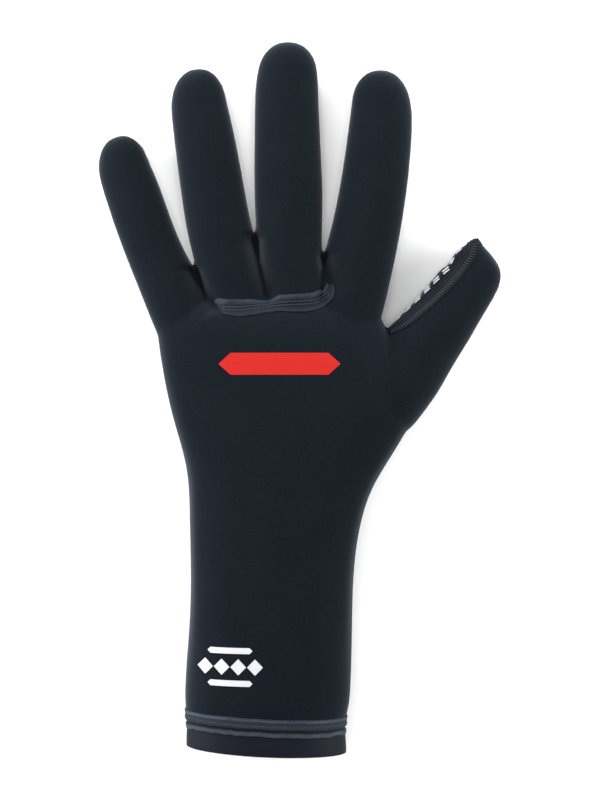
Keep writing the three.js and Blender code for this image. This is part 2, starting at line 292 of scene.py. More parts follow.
def loft(name, sections, sides):
    """A closed, rounded tube through its sections: (centre, half width, half height, turn, square)."""
    bpy.ops.object.select_all(action="DESELECT")
    bpy.ops.mesh.primitive_circle_add(vertices=sides, radius=MM, fill_type="NOTHING")
    tube = bpy.context.object
    tube.name = name
    bpy.ops.object.mode_set(mode="EDIT")
    bpy.ops.mesh.select_all(action="SELECT")
    bpy.ops.mesh.delete(type="VERT")
    for centre, half_width, half_height, turn, square in sections:
        add_ring(centre, half_width, half_height, turn, sides, square)
    bpy.context.tool_settings.mesh_select_mode = (False, True, False)
    bpy.ops.mesh.select_all(action="SELECT")
    bpy.ops.mesh.bridge_edge_loops(type="SINGLE")
    pick(tube, lambda e: e.is_boundary, "EDGE")
    bpy.ops.mesh.fill_holes(sides=0)
    bpy.ops.mesh.select_all(action="SELECT")
    bpy.ops.mesh.normals_make_consistent(inside=False)
    bpy.ops.object.mode_set(mode="OBJECT")
    finish_with(tube, "SUBSURF", levels=2, render_levels=2)
    return tube


# %% The hand, the digits and the webs between the fingers
HAND_SIDES = 24
DIGIT_SIDES = 16
TIP_ANGLES = [24, 48, 68, 82]  # degrees, round a fingertip from its side to its end
BLUNT = 0.86  # under 1, a fingertip is blunter than a half oval
TAPERED = 2.5  # seen from above, the thumb's tip comes to a corner


def hand_sections():
    for row in hand_slices:
        centre = place((row.left + row.right) / 2, row.y, (row.bottom + row.top) / 2)
        yield centre, (row.right - row.left) / 2, (row.top - row.bottom) / 2, 0, row.y > CUFF_TOP


def digit_sections(rows, tip, fullness):
    stations = [Vector((row.x, row.y)) for row in [*rows, tip]]
    for i, row in enumerate(rows):
        along = stations[i + 1] - stations[max(i - 1, 0)]
        turn = math.atan2(along.x, along.y)
        yield place(row.x, row.y, row.z), row.width / 2, row.height / 2, turn, False
    base, end = Vector(rows[-1][:3]), Vector(tip)
    for angle in TIP_ANGLES:
        wide = math.cos(math.radians(angle)) ** fullness
        high = math.cos(math.radians(angle)) ** BLUNT
        centre = place(*base.lerp(end, math.sin(math.radians(angle))))
        yield centre, rows[-1].width / 2 * wide, rows[-1].height / 2 * high, turn, False


tubes = [loft("hand", list(hand_sections()), HAND_SIDES)]
for digit, rows in digits.items():
    fullness = TAPERED if digit == "thumb" else BLUNT
    tubes.append(loft(digit, list(digit_sections(rows, tips[digit], fullness)), DIGIT_SIDES))
for web, rows in webs.items():
    tubes.append(loft(web, list(digit_sections(rows, web_tips[web], BLUNT)), DIGIT_SIDES))
for tube in tubes:
    tell(tube)

# %% [markdown]
# ## One skin
# The tubes overlap inside the hand. A boolean union could join them, but it leaves sharp valleys. A
# voxel remesh keeps only the outside, as if the glove were dipped, and a little smoothing rounds the
# webs as stretched rubber does. The gaps between the fingers are under a millimetre at their roots, so
# the mesh is stretched sideways while it is remeshed, which makes the cells finer across them.

# %% Join, remesh and smooth
VOXEL = 1.45 * MM
SIDE_STRETCH = 1.8
WEB_SMOOTHING = 3
SMOOTHING_LOSS = 0.25 * MM
only(tubes[0])
for tube in tubes:
    tube.select_set(True)
bpy.ops.object.join()
form = bpy.context.object
form.name = "glove_form"
stretch(form, (SIDE_STRETCH, 1, 1))
finish_with(form, "REMESH", mode="VOXEL", voxel_size=VOXEL, adaptivity=0)
stretch(form, (1 / SIDE_STRETCH, 1, 1))
finish_with(form, "SMOOTH", factor=0.5, iterations=WEB_SMOOTHING)
finish_with(form, "DISPLACE", strength=SMOOTHING_LOSS, mid_level=0, direction="NORMAL")
only(form)
bpy.ops.object.mode_set(mode="EDIT")
pick(form, lambda v: v.co.z < 0)
bpy.ops.transform.resize(value=(1, 1, 0), center_override=(0, 0, 0))
bpy.ops.object.mode_set(mode="OBJECT")
tell(form)

# %% [markdown]
# ## Creases between the fingers
# Below the webs the fingers press against each other, and the panel over the ring and middle
# fingers stands a little proud of its neighbours. Each crease is a path on the skin. Points near it
# are pushed down, most at the web, as a sculptor's crease brush does, because cut gaps would open the
# skin. The reach differs to the left and to the right.

# %% Paths with rounded corners
Spot = namedtuple("Spot", "x y")


def rounded(path, step):
    """A path through the spots with its corners rounded, in even steps of millimetres."""
    points = [Vector(spot) for spot in path]
    for _ in range(3):
        cut = [points[0]]
        for a, b in zip(points, points[1:]):
            cut += [a.lerp(b, 0.25), a.lerp(b, 0.75)]
        points = cut + [points[-1]]
    return even(points, step)


def even(points, step):
    """Points along a path at even steps."""
    lengths = [0]
    for a, b in zip(points, points[1:]):
        lengths.append(lengths[-1] + (b - a).length)
    count = max(2, round(lengths[-1] / step))
    out, k = [], 0
    for i in range(count + 1):
        s = lengths[-1] * i / count
        while k < len(points) - 2 and lengths[k + 1] < s:
            k += 1
        out.append(points[k].lerp(points[k + 1], (s - lengths[k]) / (lengths[k + 1] - lengths[k])))
    return out


# %% Press the creases, but never down to the side seam
SIDE_SEAM = {"y": -146, "z": 21, "slope": -0.032}


def side_seam_height(y):
    """Height of the side seam at y, all in metres in the frame."""
    return (SIDE_SEAM["z"] + SIDE_SEAM["slope"] * (y / MM + OUTLINE_MIDDLE[1] - SIDE_SEAM["y"])) * MM


Crease = namedtuple("Crease", "path depth left right")
creases = [
    Crease([Spot(-43.8, 53.6), Spot(-40.8, 47.0), Spot(-37.6, 41.6), Spot(-34.0, 37.4)], 5.0, 4.2, 2.2),
    Crease([Spot(-19.0, 67.0), Spot(-18.2, 60.0), Spot(-16.2, 52.0), Spot(-12.2, 43.0)], 5.4, 3.2, 3.0),
    Crease([Spot(10.0, 60.0), Spot(11.4, 54.4), Spot(13.2, 48.4), Spot(14.2, 45.2)], 5.4, 2.2, 3.6),
]
ABOVE_SEAM = 1.8 * MM
END_FADE = 2.0 * MM
CUFFWARD_LOSS = 0.65  # share of its depth that a crease loses on its way to the cuff
CREASE_MARGIN = 10 * MM  # points further out than this aren't looked at
TO_SMOOTH = 0.1  # points pushed by more than this share are smoothed afterwards


def press(obj, crease):
    """Pushes the top of a mesh down along a crease, which grows shallow towards the cuff."""
    line = [place(*p).xy for p in rounded(crease.path, 1)]
    low = [min(p[i] for p in line) - CREASE_MARGIN for i in (0, 1)]
    high = [max(p[i] for p in line) + CREASE_MARGIN for i in (0, 1)]
    moved = []
    for v in obj.data.vertices:
        x, y, z = v.co
        lowest = side_seam_height(y) + ABOVE_SEAM
        if z < lowest or not (low[0] < x < high[0] and low[1] < y < high[1]):
            continue
        k = min(range(len(line)), key=lambda i: (line[i] - v.co.xy).length_squared)
        share = k / (len(line) - 1)
        aside = abs(x - line[k].x)
        beyond = abs(y - line[k].y) if k in (0, len(line) - 1) else 0
        reach = crease.left if x < line[k].x else crease.right
        bell = math.exp(-((aside / (reach * MM)) ** 2) - (beyond / END_FADE) ** 2)
        v.co.z = max(lowest, z - crease.depth * MM * (1 - CUFFWARD_LOSS * share) * bell)
        if bell > TO_SMOOTH:
            moved.append(v.index)
    print("crease moved", len(moved), "points")
    return moved


crease_points = form.vertex_groups.new(name="crease_points")
for crease in creases:
    crease_points.add(press(form, crease), 1, "REPLACE")
finish_with(form, "SMOOTH", factor=0.5, iterations=3, vertex_group=crease_points.name)

# %% [markdown]
# ## Cutting the panels
# The glove is sewn from a back, a separate panel for the ring and middle fingers, and a palm that
# wraps over the inner side of the thumb. The hem and the band's seam run a few degrees off square.
# Panels modelled apart would never meet exactly, so they are cut from one skin. Bisect cuts only
# the selected faces, so the two curved seams are cut one short straight piece at a time, close to the
# seam, and the panels then come apart without ragged edges.

# %% Seam lines, seen from above
knuckle_seam = [
    Spot(-44.6, 54.5),
    Spot(-40.8, 46.5),
    Spot(-37.4, 41.0),
    Spot(-32.6, 38.4),
    Spot(-21.0, 38.6),
    Spot(-6.0, 40.6),
    Spot(5.0, 42.4),
    Spot(11.0, 45.2),
    Spot(13.2, 50.0),
    Spot(9.4, 58.0),
]
thumb_seam = [
    Spot(36.6, 29.6),
    Spot(42.6, 31.6),
    Spot(49.8, 37.6),
    Spot(57.6, 44.4),
    Spot(64.4, 51.8),
    Spot(69.4, 57.8),
    Spot(72.0, 62.4),
    Spot(73.6, 68.0),
]
beside_fingers = [Spot(16.4, 100), Spot(18, 170), Spot(-62, 170), Spot(-57, 100)]
beside_index = Spot(40.4, 52)
beside_thumb = Spot(60, 72)
HEM = {"y": -144.6, "tilt": 2.6}
CUFF_SEAM_Y = -133


def inside(outline, x, y):
    """Whether a point lies inside a closed outline."""
    odd = False
    for a, b in zip(outline, outline[1:] + outline[:1]):
        if (a.y > y) != (b.y > y) and x < a.x + (b.x - a.x) * (y - a.y) / (b.y - a.y):
            odd = not odd
    return odd


CUT_STEP = 1.5
knuckle_line = [place(*p) for p in rounded(knuckle_seam, CUT_STEP)]
thumb_line = [place(*p) for p in rounded(thumb_seam, CUT_STEP)]
finger_outline = knuckle_line + [place(*p) for p in beside_fingers]
thumb_outline = [place(*beside_index)] + thumb_line + [place(*beside_thumb)]
print("knuckle seam", len(knuckle_line), "points; thumb seam", len(thumb_line), "points")

# %% Cut the hem, the band and the seams
cuff_square = Vector((math.sin(math.radians(HEM["tilt"])), math.cos(math.radians(HEM["tilt"])), 0))
cuff_middle_x = (hand_slices[1].left + hand_slices[1].right) / 2
CUT_REACH = 2 * MM  # a short cut takes the faces this close to the seam
CUT_LAP = 0.4 * MM  # runs this far past both of its ends
CUT_BELOW = 0.5 * MM  # and reaches this far below the side seam


def cut_plane(obj, point, normal, test=lambda f: True, clear_inner=False):
    """Bisects the faces that pass the test."""
    pick(obj, test, "FACE")
    bpy.ops.mesh.bisect(plane_co=point, plane_no=normal, clear_inner=clear_inner, threshold=1e-7)


skin = form.copy()
skin.data = form.data.copy()
skin.name = "skin"
bpy.context.collection.objects.link(skin)
only(skin)
bpy.ops.object.mode_set(mode="EDIT")
cut_plane(skin, place(cuff_middle_x, HEM["y"]), cuff_square, clear_inner=True)
cut_plane(skin, place(cuff_middle_x, CUFF_SEAM_Y), cuff_square)
side_normal = Vector((0, -SIDE_SEAM["slope"], 1)).normalized()
cut_plane(skin, Vector((0, 0, side_seam_height(0))), side_normal)
for line in (knuckle_line, thumb_line):
    for a, b in zip(line, line[1:]):
        along = (b - a).normalized()
        across = Vector((-along.y, along.x, 0))

        def near(face):
            c = face.calc_center_median()
            s, t = (c - a).dot(along), (c - a).dot(across)
            above = c.z > side_seam_height(c.y) - CUT_BELOW
            return above and abs(t) < CUT_REACH and -CUT_LAP < s < (b - a).length + CUT_LAP

        cut_plane(skin, a, across, near)
bpy.ops.object.mode_set(mode="OBJECT")
tell(skin)

# %% Take the panels apart
def panel_of(face):
    """The panel a face of the skin belongs to."""
    c = face.calc_center_median()
    if (c - place(cuff_middle_x, CUFF_SEAM_Y)).dot(cuff_square) < 0:
        return "cuff_hem_band"
    if c.z < side_seam_height(c.y) or inside(thumb_outline, c.x, c.y):
        return "palm_and_inner_thumb"
    return "two_finger_back" if inside(finger_outline, c.x, c.y) else "back_of_hand"


def take_off(obj, name):
    """Separates the faces of one panel into an object of that name."""
    only(obj)
    bpy.ops.object.mode_set(mode="EDIT")
    pick(obj, lambda f: panel_of(f) == name, "FACE")
    before = set(bpy.data.objects)
    bpy.ops.mesh.separate(type="SELECTED")
    bpy.ops.object.mode_set(mode="OBJECT")
    part = (set(bpy.data.objects) - before).pop()
    part.name = name
    return part


panels = {name: take_off(skin, name) for name in ("cuff_hem_band", "palm_and_inner_thumb", "two_finger_back")}
skin.name = "back_of_hand"
panels["back_of_hand"] = skin
for panel in panels.values():
    tell(panel)

# %% [markdown]
# ## Thickness
# Neoprene for swimming gloves is about 3 mm thick. Solidify grows each panel inwards, so the outside
# stays where it is. It adds the rim's faces last, so they are found by their place in the list, and a
# narrow bevel along their edges makes the seams read as fine grooves. A bevel modifier that goes by
# angle would also cut the creases.

# %% Walls and seam edges
WALL = 2.9 * MM
SEAM_ROUND = 0.3 * MM
HEM_ROUND = 0.9 * MM
for name, panel in panels.items():
    round_edge = HEM_ROUND if name == "cuff_hem_band" else SEAM_ROUND
    rim_start = 2 * len(panel.data.polygons)
    finish_with(panel, "SOLIDIFY", thickness=WALL, offset=-1, use_even_offset=False, use_rim=True)
    bpy.ops.object.mode_set(mode="EDIT")
    pick(panel, lambda f: f.index >= rim_start, "FACE")
    bpy.ops.mesh.region_to_loop()
    bpy.ops.mesh.bevel(offset=round_edge, segments=2, affect="EDGES", clamp_overlap=True)
    bpy.ops.object.mode_set(mode="OBJECT")
    smooth(panel, 50)
    tell(panel)

# %% [markdown]
# ## Laying things on the skin
# Tapes, stitches and prints follow the glove's surface. Two questions are enough for that: which
# point of the skin is nearest, and which point lies straight below. A station is a point on the skin with
# the way along the seam and the way out of the skin, like a needle held ready to sew.

# %% Finding the skin
skin_tree = BVHTree.FromObject(form, bpy.context.evaluated_depsgraph_get())
ABOVE = 100 * MM
SIDE_LEVEL = 12 * MM
REACH_OUT = 4 * MM
DOWN = Vector((0, 0, -1))
EVENED = 8  # stations on each side over which the way out of the skin is evened out
Station = namedtuple("Station", "centre along out")


def nearest(point):
    """The nearest point of the skin, and the way out of it there."""
    spot, out, _, _ = skin_tree.find_nearest(point)
    return spot, out


def straight_in(point, out):
    """The skin met from outside along a direction, or the nearest skin where nothing is met."""
    spot, facing, _, _ = skin_tree.ray_cast(point + out * REACH_OUT, -out, 2 * REACH_OUT)
    return (spot, facing) if spot else nearest(point)


def below(x, y):
    """The skin seen from above at x and y, or its nearest side where the place is just outside."""
    spot, out, _, _ = skin_tree.ray_cast(Vector((x, y, ABOVE)), DOWN)
    return (spot, out) if spot else nearest(Vector((x, y, SIDE_LEVEL)))


def stations_through(spots, outs, closed=False):
    """Stations at spots on the skin, with the outward directions evened out."""
    last = len(spots) - 1
    result = []
    for i, spot in enumerate(spots):
        around = range(i - EVENED, i + EVENED + 1)
        near = [outs[k % last] if closed else outs[min(max(k, 0), last)] for k in around]
        out = sum(near, Vector()).normalized()
        before = spots[(i - 1) % last] if closed else spots[max(i - 1, 0)]
        after = spots[(i + 1) % last] if closed else spots[min(i + 1, last)]
        along = after - before
        along = (along - out * along.dot(out)).normalized()
        result.append(Station(spot, along, out))
    return result


def between(stations, at):
    """The station at a fractional place in a list of them."""
    k = min(int(at), len(stations) - 2)
    a, b = stations[k], stations[k + 1]
    return Station(*[one.lerp(other, at - k) for one, other in zip(a, b)])


# %% [markdown]
# ## Seam tape
# A thin tape is pressed over each seam and stitched through. A curve with a flat profile could be the
# tape, but it would cut into the skin where that bends. Here a fine grid is laid on the skin, a row at
# each station. Each column gets a height from a small profile, so the pressed edges and the ridges are
# real shapes. The edges drift a little, as on tape laid by hand.

# %% Tape profiles: height above the skin in mm, from the tape's fingertip side to its cuff side
Height = namedtuple("Height", "across height")
knuckle_profile = [
    Height(0.00, 0.10), Height(0.03, 0.52), Height(0.10, 0.60), Height(0.30, 0.48), Height(0.37, 0.34),
    Height(0.43, 0.58), Height(0.49, 0.34), Height(0.55, 0.32), Height(0.61, 0.56), Height(0.67, 0.34),
    Height(0.74, 0.46), Height(0.94, 0.50), Height(0.98, 0.42), Height(1.00, 0.10),
]
thumb_profile = [
    Height(0.00, 0.10), Height(0.03, 0.60), Height(0.09, 0.62), Height(0.13, 0.26), Height(0.20, 0.24),
    Height(0.24, 0.60), Height(0.31, 0.62), Height(0.35, 0.28), Height(0.42, 0.40), Height(0.88, 0.44),
    Height(0.95, 0.54), Height(1.00, 0.10),
]
cuff_profile = [
    Height(0.00, 0.10), Height(0.04, 0.46), Height(0.12, 0.58), Height(0.26, 0.42), Height(0.42, 0.48),
    Height(0.57, 0.44), Height(0.62, 0.02), Height(0.68, 0.00), Height(0.75, 0.50), Height(0.92, 0.54),
    Height(1.00, 0.10),
]


def height_at(profile, across):
    """Height of a profile at a share of the tape's width, in metres."""
    for a, b in zip(profile, profile[1:]):
        if across <= b.across:
            share = (across - a.across) / (b.across - a.across)
            return (a.height + (b.height - a.height) * share) * MM
    return profile[-1].height * MM


TALLEST = max(row.height for row in knuckle_profile + thumb_profile + cuff_profile) * MM
print("tallest ridge", round(TALLEST / MM, 2), "mm")

# %% Lay a tape
TAPE_BODY = 0.45 * MM
EDGE_GRAIN = 300  # per metre: an edge drifts about every 3 mm
LONG_DRIFT = 90
END_ROUND = 0.7  # under 1, a narrowed end is blunt


def drift(point, seed):
    """A small share, from -1 to 1, by which an edge strays at a point."""
    slow = noise.noise(point * LONG_DRIFT + Vector((seed, 0, 0)))
    fast = noise.noise(point * EDGE_GRAIN + Vector((0, seed, 0)))
    return 0.5 * slow + 0.5 * fast


def lay_tape(name, stations, width, profile, columns, stray, ends=(1, 1), end_length=12, slant=0):
    """A grid laid across the stations, its edges straying, its ends narrowed, its start cut on a slant."""
    bpy.ops.object.select_all(action="DESELECT")
    last = len(stations) - 1
    bpy.ops.mesh.primitive_grid_add(x_subdivisions=columns, y_subdivisions=last, size=1, calc_uvs=True)
    tape = bpy.context.object
    tape.name = name
    ridge = tape.data.attributes.new("ridge", "FLOAT", "POINT")
    for v in tape.data.vertices:
        across, k = v.co.x + 0.5, round((v.co.y + 0.5) * last)
        ridge.data[v.index].value = height_at(profile, across) / TALLEST
        from_start = slant * across
        here = between(stations, from_start + (last - from_start) * k / last)
        narrow = 1
        for end, away in zip(ends, (k, last - k)):
            narrow = min(narrow, end + (1 - end) * min(1, away / end_length) ** END_ROUND)
        low = -0.5 - stray[0] * drift(here.centre, 1)
        high = 0.5 + stray[1] * drift(here.centre, 5)
        reach = width * narrow * (low + (high - low) * across)
        spot, out = straight_in(here.centre + here.along.cross(here.out) * reach, here.out)
        v.co = spot + (out + here.out).normalized() * height_at(profile, across)
    only(tape)
    bpy.ops.object.mode_set(mode="EDIT")
    bpy.ops.mesh.select_all(action="SELECT")
    bpy.ops.mesh.remove_doubles(threshold=0.01 * MM)
    bpy.ops.object.mode_set(mode="OBJECT")
    finish_with(tape, "SMOOTH", factor=0.35, iterations=1)
    finish_with(tape, "SOLIDIFY", thickness=TAPE_BODY, offset=-1, use_even_offset=False)
    smooth(tape, 60)
    tell(tape)
    return tape


# %% Knuckle tape and thumb tape
TAPE_STEP = 0.5
knuckle_tape_path = [
    Spot(-36.6, 38.6),
    Spot(-32.0, 37.7),
    Spot(-24.7, 37.5),
    Spot(-17.2, 38.2),
    Spot(-11.0, 39.0),
    Spot(-6.0, 39.9),
    Spot(1.3, 40.2),
    Spot(6.6, 40.9),
    Spot(10.8, 42.7),
    Spot(12.3, 45.4),
    Spot(12.3, 47.8),
]
thumb_tape_path = [
    Spot(36.6, 28.4),
    Spot(42.4, 30.8),
    Spot(49.8, 37.2),
    Spot(56.2, 42.8),
    Spot(64.2, 51.4),
    Spot(68.8, 57.0),
    Spot(71.4, 61.4),
    Spot(73.0, 67.4),
]


def stations_on(path, step):
    """Stations along a path drawn from above."""
    spots, outs = zip(*[below(*place(*p).xy) for p in rounded(path, step)])
    return stations_through(spots, outs)


knuckle_stations = stations_on(knuckle_tape_path, TAPE_STEP)
thumb_stations = stations_on(thumb_tape_path, TAPE_STEP)
knuckle_tape = lay_tape(
    "knuckle_seam_tape", knuckle_stations, 7.6 * MM, knuckle_profile, 36,
    stray=(0.05, 0.12), ends=(0.82, 0.35), end_length=14, slant=12,
)
thumb_tape = lay_tape(
    "thumb_seam_tape", thumb_stations, 5.9 * MM, thumb_profile, 32, stray=(0.01, 0.08), ends=(0.75, 1)
)

# %% Cuff tape
CUFF_TAPE = {"y": -133.1, "width": 8.0, "z": 21, "step": 0.6}
RAYS = 360


def stations_round(y, step):
    """Stations round the cuff, over the top from left to right and back underneath."""
    middle = place(cuff_middle_x, y, CUFF_TAPE["z"])
    sideways = Vector((cuff_square.y, -cuff_square.x, 0))
    spots = []
    for i in range(RAYS + 1):
        angle = math.pi - 2 * math.pi * i / RAYS
        way = sideways * math.cos(angle) + Vector((0, 0, math.sin(angle)))
        spots.append(skin_tree.ray_cast(middle, way)[0])
    spots = even(spots, step * MM)
    return stations_through(spots, [nearest(spot)[1] for spot in spots], closed=True)


cuff_stations = stations_round(CUFF_TAPE["y"], CUFF_TAPE["step"])
cuff_tape = lay_tape(
    "cuff_seam_tape", cuff_stations, CUFF_TAPE["width"] * MM, cuff_profile, 28, stray=(0.03, 0.12)
)

# %% [markdown]
# ## Stitches
# The thread shows on the tape: two beaded rows on the knuckles, short ribs across the thumb tape, and a
# zigzag round the cuff. A bump pattern could draw them, but real shapes also show from the side. One
# stitch is modelled from a small sphere, pulled long, and copied to every place. It has few faces,
# because hundreds of copies share one object.

# %% One stitch, and a row of them
def new_stitch(length, width, height):
    """A rounded thread stitch at the origin: long in X, with its back up in Z."""
    bpy.ops.object.select_all(action="DESELECT")
    bpy.ops.mesh.primitive_uv_sphere_add(segments=8, ring_count=6, radius=0.5, rotation=(0, math.pi / 2, 0))
    stitch = bpy.context.object
    bpy.ops.object.transform_apply(location=False, rotation=True, scale=False)
    stretch(stitch, (length * MM, width * MM, height * MM))
    only(stitch)
    bpy.ops.object.mode_set(mode="EDIT")
    pick(stitch, lambda v: abs(v.co.x) < 0.3 * length * MM)
    bpy.ops.transform.resize(value=(1.15, 1.1, 1.1), center_override=(0, 0, 0))
    bpy.ops.object.mode_set(mode="OBJECT")
    return stitch


def copy_to(name, pattern, frames):
    """One object with a copy of the pattern at every frame; the pattern itself is removed."""
    verts, faces = [], []
    for spot in frames:
        start = len(verts)
        verts += [spot @ v.co for v in pattern.data.vertices]
        faces += [[start + i for i in p.vertices] for p in pattern.data.polygons]
    mesh = bpy.data.meshes.new(name)
    mesh.from_pydata(verts, [], faces)
    obj = bpy.data.objects.new(name, mesh)
    bpy.context.collection.objects.link(obj)
    bpy.data.objects.remove(pattern)
    smooth(obj, 60)
    tell(obj)
    return obj


def needle(station, aside, lift, turn):
    """A frame on the skin beside a station: X across the seam, Y along it, Z out."""
    across = station.along.cross(station.out)
    spot, out = nearest(station.centre + across * aside)
    out = (out + station.out).normalized()
    along = (station.along - out * station.along.dot(out)).normalized()
    axes = Matrix((along.cross(out), along, out)).transposed()
    return Matrix.Translation(spot + out * lift) @ axes.to_4x4() @ Matrix.Rotation(turn, 4, "Z")


# %% Sew the three seams
BEAD_PITCH, RIB_PITCH, ZIGZAG_PITCH = 1.15, 1.05, 0.7  # mm along the seam
QUARTER = math.pi / 2
Row = namedtuple("Row", "aside lift turn")  # across the seam, out of the skin, and round
bead_rows = [Row(-0.5 * MM, 0.56 * MM, QUARTER - 0.35), Row(0.8 * MM, 0.54 * MM, QUARTER + 0.35)]
rib_row = Row(0.85 * MM, 0.44 * MM, 0.16)
zigzag_rows = [Row(-0.5 * MM, 0.5 * MM, -0.42), Row(-0.5 * MM, 0.5 * MM, 0.42)]
BEADS_START, BEADS_BARE = 11, 18  # stations with no beads: at the slanted start, and in all
RIBS_START = 4
knuckle_every = BEAD_PITCH / TAPE_STEP
frames = []
for k in range(int((len(knuckle_stations) - BEADS_BARE) / knuckle_every)):
    station = between(knuckle_stations, BEADS_START + k * knuckle_every)
    frames += [needle(station, *row) for row in bead_rows]
knuckle_stitches = copy_to("knuckle_seam_stitches", new_stitch(1.0, 0.62, 0.4), frames)

rib_every = RIB_PITCH / TAPE_STEP
frames = [
    needle(between(thumb_stations, RIBS_START + k * rib_every), *rib_row)
    for k in range(int((len(thumb_stations) - 2 * RIBS_START) / rib_every))
]
thumb_stitches = copy_to("thumb_seam_stitches", new_stitch(2.9, 0.46, 0.36), frames)

frames = []
cuff_every = ZIGZAG_PITCH / CUFF_TAPE["step"]
for k in range(int((len(cuff_stations) - 1) / cuff_every)):
    frames.append(needle(between(cuff_stations, k * cuff_every), *zigzag_rows[k % 2]))
cuff_stitches = copy_to("cuff_seam_stitches", new_stitch(1.9, 0.46, 0.36), frames)

# %% [markdown]
# ## Prints
# Two marks are heat-pressed films: a plain pointed bar on the back of the hand, and bars with a row
# of diamonds on the cuff. They could be colours in the fabric's material, but a film has an edge of
# its own. A grid is pulled into shape by narrowing its rows, then laid just over a tenth of a
# millimetre proud of the skin, with a thin body that sinks into the fabric.

# %% A pointed bar of film
FILM_RISE = 0.14 * MM
FILM_BODY = 0.3 * MM
Film = namedtuple("Film", "length height point columns rows")  # sizes in mm, then the grid's cells


def lay_film(name, centre, shape):
    """A film with pointed ends, laid on the back at a spot of the tables."""
    bpy.ops.object.select_all(action="DESELECT")
    bpy.ops.mesh.primitive_grid_add(
        x_subdivisions=shape.columns, y_subdivisions=shape.rows, size=2, calc_uvs=True
    )
    film = bpy.context.object
    film.name = name
    for v in film.data.vertices:
        across, up = v.co.x, v.co.y
        x = centre.x + across * (shape.length / 2 - shape.point * abs(up))
        y = centre.y + up * shape.height / 2
        spot, out = below(*place(x, y).xy)
        v.co = spot + out * FILM_RISE
    finish_with(film, "SOLIDIFY", thickness=FILM_BODY, offset=-1, use_even_offset=False)
    smooth(film, 40)
    tell(film)
    return film


# %% The bar on the back and the marks on the cuff
BACK_MARK = Spot(-8.4, 14.8)
CUFF_MARK = Spot(-28.4, -108.2)
BAR_RISE = 6.6
DIAMONDS, DIAMOND_PITCH = 4, 6.8
cuff_bar = Film(18.4, 2.4, 1.2, 36, 6)
diamond = Film(6.4, 6.4, 3.1, 14, 14)
back_bar = lay_film("back_print_bar", BACK_MARK, Film(50, 9, 5, 90, 16))
cuff_marks = {}
for name, rise in (("upper_bar", BAR_RISE), ("lower_bar", -BAR_RISE)):
    spot = Spot(CUFF_MARK.x, CUFF_MARK.y + rise)
    cuff_marks[f"cuff_mark_{name}"] = lay_film(f"cuff_print_{name}", spot, cuff_bar)
for i in range(DIAMONDS):
    spot = Spot(CUFF_MARK.x + (i - (DIAMONDS - 1) / 2) * DIAMOND_PITCH, CUFF_MARK.y)
    name = f"diamond_{i + 1}"
    cuff_marks[f"cuff_mark_{name}"] = lay_film(f"cuff_print_{name}", spot, diamond)

# %% [markdown]
# ## Grip print
# The palm carries pairs of short silicone bars for grip, slanted left and right in turn. The
# photograph shows them only along the thumb. Particles could scatter them, but a print is regular, so
# rays find their places: from the middle of each digit outwards, and from below for the palm. A place
# too close to an earlier one, or too close to a seam, stays bare.

# %% Places for the grip bars
GRIP_PITCH = 5.4 * MM
GRIP_SLANT = math.radians(65)
SEAM_MARGIN = 4.2 * MM
TAPE_MARGIN = 4.5 * MM
GRIP_SINK = 0.02 * MM
OWN_ROOM = 0.86 * GRIP_PITCH  # no other place comes closer than this
taken = {}
grip_frames = []


def free(spot):
    """Whether no bar lies within most of a pitch of a spot; if so, the spot is taken."""
    cell = tuple(int(math.floor(c / GRIP_PITCH)) for c in spot)
    for dx in (-1, 0, 1):
        for dy in (-1, 0, 1):
            for dz in (-1, 0, 1):
                for other in taken.get((cell[0] + dx, cell[1] + dy, cell[2] + dz), ()):
                    if (other - spot).length < OWN_ROOM:
                        return False
    taken.setdefault(cell, []).append(spot)
    return True


def on_palm_side(spot):
    """Whether a spot is on the palm panel, clear of its seams."""
    if spot.z < side_seam_height(spot.y) - SEAM_MARGIN:
        return True
    if not inside(thumb_outline, spot.x, spot.y):
        return False
    return min((spot - station.centre).length for station in thumb_stations) > TAPE_MARGIN


def put_bar(spot, out, forward, slant):
    """Keeps a frame for one bar: X along the bar, Z out of the skin."""
    if spot is None or not on_palm_side(spot) or not free(spot):
        return
    along = (forward - out * forward.dot(out)).normalized()
    axes = Matrix((along.cross(out), along, out)).transposed()
    turned = axes.to_4x4() @ Matrix.Rotation(slant, 4, "Z")
    grip_frames.append(Matrix.Translation(spot - out * GRIP_SINK) @ turned)


# %% Bars round the digits, then over the palm
FAN = range(-8, 9)
FAN_REACH = math.radians(150)  # round a digit from straight down
FINGER_GRIP_FROM = place(0, 44).y
THUMB_GRIP_FROM = 5  # pitches from the thumb's root
INTO_TIP = 0.45  # share of the way from the last section to the tip
for digit, rows in digits.items():
    path = [Vector(row[:3]) for row in rows]
    path.append(path[-1].lerp(Vector(tips[digit]), INTO_TIP))
    path = [place(*p) for p in path]
    for i, centre in enumerate(even(path, GRIP_PITCH)):
        bare = i < THUMB_GRIP_FROM if digit == "thumb" else centre.y < FINGER_GRIP_FROM
        if bare:
            continue
        forward = (path[-1] - path[-3]).normalized()
        aside = forward.cross(Vector((0, 0, 1))).normalized()
        radius = (nearest(centre)[0] - centre).length
        for n in FAN:
            angle = n * GRIP_PITCH / radius
            if abs(angle) > FAN_REACH:
                continue
            way = (DOWN * math.cos(angle) + aside * math.sin(angle)).normalized()
            spot, out, _, _ = skin_tree.ray_cast(centre, way)
            put_bar(spot, out, forward, -GRIP_SLANT if n % 2 else GRIP_SLANT)
print("grip bars on the digits:", len(grip_frames))
PALM_FIELD = {"left": -62, "right": 60, "low": -56, "high": 46}
FACING_DOWN = -0.6  # skin that slopes up more than this at the palm's sides stays bare
UP = Vector((0, 0, 1))
columns = int((PALM_FIELD["right"] - PALM_FIELD["left"]) * MM / GRIP_PITCH)
lines = int((PALM_FIELD["high"] - PALM_FIELD["low"]) * MM / GRIP_PITCH)
